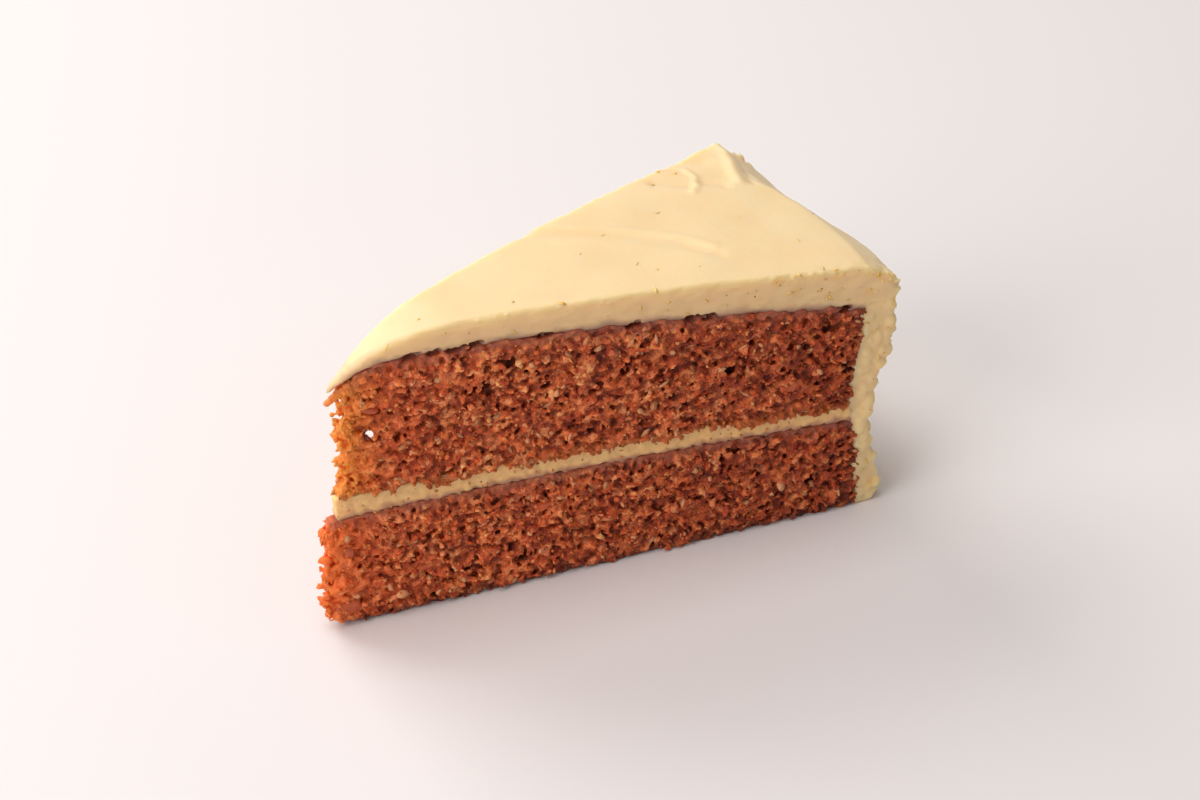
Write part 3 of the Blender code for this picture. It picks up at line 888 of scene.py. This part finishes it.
inner = np.maximum(reach - outline(CRUMB_RIM, at[:, 2]), at[:, 2] - upper_top(reach)) < 0.2 * MM
cut = cut_distance(at[:, 0], at[:, 1])
thin_out(frosting, inner & (cut < -1.5 * MM))
at = vertex_places(frosting)
cut = cut_distance(at[:, 0], at[:, 1])
reach = np.hypot(at[:, 0] - axis_x, at[:, 1])
over = at[:, 2] - upper_top(reach)
uneven = 0.30 * mottle(at, (9 * MM,) * 3, 78) + 0.15 * mottle(at, (2.5 * MM,) * 3, 79)
film_width = 1.9 * MM * np.clip(1 + uneven, 0.3, 2)
# A narrow stain where crumb shows through the thin frosting at the joint, and a faint broad darkening
# over 5 mm above it that is partly that stain and partly painted shade
film = 0.8 * np.clip(1 - over / film_width, 0, 1) ** 1.5 + 0.14 * np.clip(1 - over / (5 * MM), 0, 1)
set_attribute(frosting, "film", film * (over > -0.7 * MM) * (cut > -2 * MM) * (reach < 123 * MM))
on_rim = np.clip((reach - 60 * MM) / (60 * MM), 0, 1)
on_face = (cut > -0.8 * MM) * np.clip(over / (1.5 * MM), 0, 1) * (over > 0)
on_side = (cut > -0.8 * MM) * (reach > 123.5 * MM)
set_attribute(frosting, "cut_face", np.clip(1 + cut / (1.5 * MM), 0, 1))
zest_room = np.maximum(on_face * (0.25 + 0.75 * on_rim), on_side)
set_attribute(frosting, "zest_room", np.maximum(zest_room, 0.05 * (over > 2 * MM)))
# The coat's cut faces are painted warmer than its top, as painted light shining through the frosting
frosting.data.materials.append(
    cream_material("frosting_cream", (0.96, 0.71, 0.415), (1.0, 0.665, 0.335), 0.0, 4.0 * MM))
zest = scatter(
    "zest_specks", [frosting, filling],
    speck_material("orange_zest", (0.92, 0.46, 0.05), (1.0, 0.68, 0.22), 0.4),
    bits_per_square_metre=0.065e6, where="zest_room",
    least_radii=(0.25 * MM, 0.16 * MM, 0.08 * MM), most_radii=(1.0 * MM, 0.5 * MM, 0.13 * MM),
    most_turn=(0.1, 0.1, math.pi), dents=0.15 * MM, seed=11)
dark_specks = scatter(
    "dark_specks", [frosting],
    speck_material("spice", (0.16, 0.04, 0.01), (0.45, 0.16, 0.04), 0.6),
    bits_per_square_metre=0.018e6, where="zest_room",
    least_radii=(0.1 * MM, 0.1 * MM, 0.06 * MM), most_radii=(0.32 * MM, 0.22 * MM, 0.12 * MM),
    most_turn=(0.1, 0.1, math.pi), dents=0.05 * MM, seed=13)
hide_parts("frosting")
for piece in (frosting, zest, dark_specks):
    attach(piece, "root")

# ---------------------------------------------------------------------------------------
# Floor, light and camera. A seamless pale table lit by soft lamps behind, to the left and
# overhead, with pale walls all round that fill the shade.
floor_mesh = bpy.data.meshes.new("pale_floor")
reach = 4.0
floor_mesh.from_pydata([(-reach, -reach, 0), (reach, -reach, 0), (reach, reach, 0), (-reach, reach, 0)],
                       [], [(0, 1, 2, 3)])
floor = bpy.data.objects.new("pale_floor", floor_mesh)
bpy.context.collection.objects.link(floor)
floor_material = bpy.data.materials.new("pale_floor")
floor_material.use_nodes = True
floor_shader = floor_material.node_tree.nodes["Principled BSDF"]
floor_shader.inputs["Base Color"].default_value = (0.80, 0.755, 0.745, 1.0)
floor_shader.inputs["Roughness"].default_value = 0.7
floor_mesh.materials.append(floor_material)

for name, place, power in (("back_lamp", (-0.3, 1.0, 0.8), 10.2), ("side_lamp", (-1.1, -0.1, 0.8), 8.8),
                           ("overhead_lamp", (-0.2, 0.1, 1.5), 8.2)):
    lamp_data = bpy.data.lights.new(name, "AREA")
    lamp_data.shape = "RECTANGLE"
    lamp_data.size = 0.9
    lamp_data.size_y = 0.7
    lamp_data.energy = power
    lamp_data.color = (1.0, 0.985, 0.97)
    lamp = bpy.data.objects.new(name, lamp_data)
    lamp.location = place
    lamp.rotation_euler = (Vector((0, 0, 0.02)) - lamp.location).to_track_quat("-Z", "Y").to_euler()
    bpy.context.collection.objects.link(lamp)

world = bpy.data.worlds.new("pale_room")
world.use_nodes = True
world.node_tree.nodes["Background"].inputs["Color"].default_value = (1.0, 0.965, 0.95, 1.0)
world.node_tree.nodes["Background"].inputs["Strength"].default_value = 0.25
bpy.context.scene.world = world

CAMERA_AZIMUTH = math.radians(-34.383)
CAMERA_ELEVATION = math.radians(37.956)
CAMERA_ROLL = math.radians(0.8)
CAMERA_DISTANCE = 0.75
CAMERA_TARGET = Vector((axis_x + 71.93 * MM, 2.45 * MM, 30.0 * MM))
back = Vector((math.sin(CAMERA_AZIMUTH) * math.cos(CAMERA_ELEVATION),
               -math.cos(CAMERA_AZIMUTH) * math.cos(CAMERA_ELEVATION), math.sin(CAMERA_ELEVATION)))
camera_data = bpy.data.cameras.new("camera")
camera_data.lens = 102.88
camera_data.sensor_width = 36.0
camera = bpy.data.objects.new("camera", camera_data)
camera.rotation_mode = "QUATERNION"
level_view = (-back).to_track_quat("-Z", "Y")
camera.rotation_quaternion = Matrix.Rotation(CAMERA_ROLL, 3, back).to_quaternion() @ level_view
camera.location = CAMERA_TARGET + back * CAMERA_DISTANCE
bpy.context.collection.objects.link(camera)
bpy.context.scene.camera = camera
bpy.context.scene.view_settings.view_transform = "Standard"
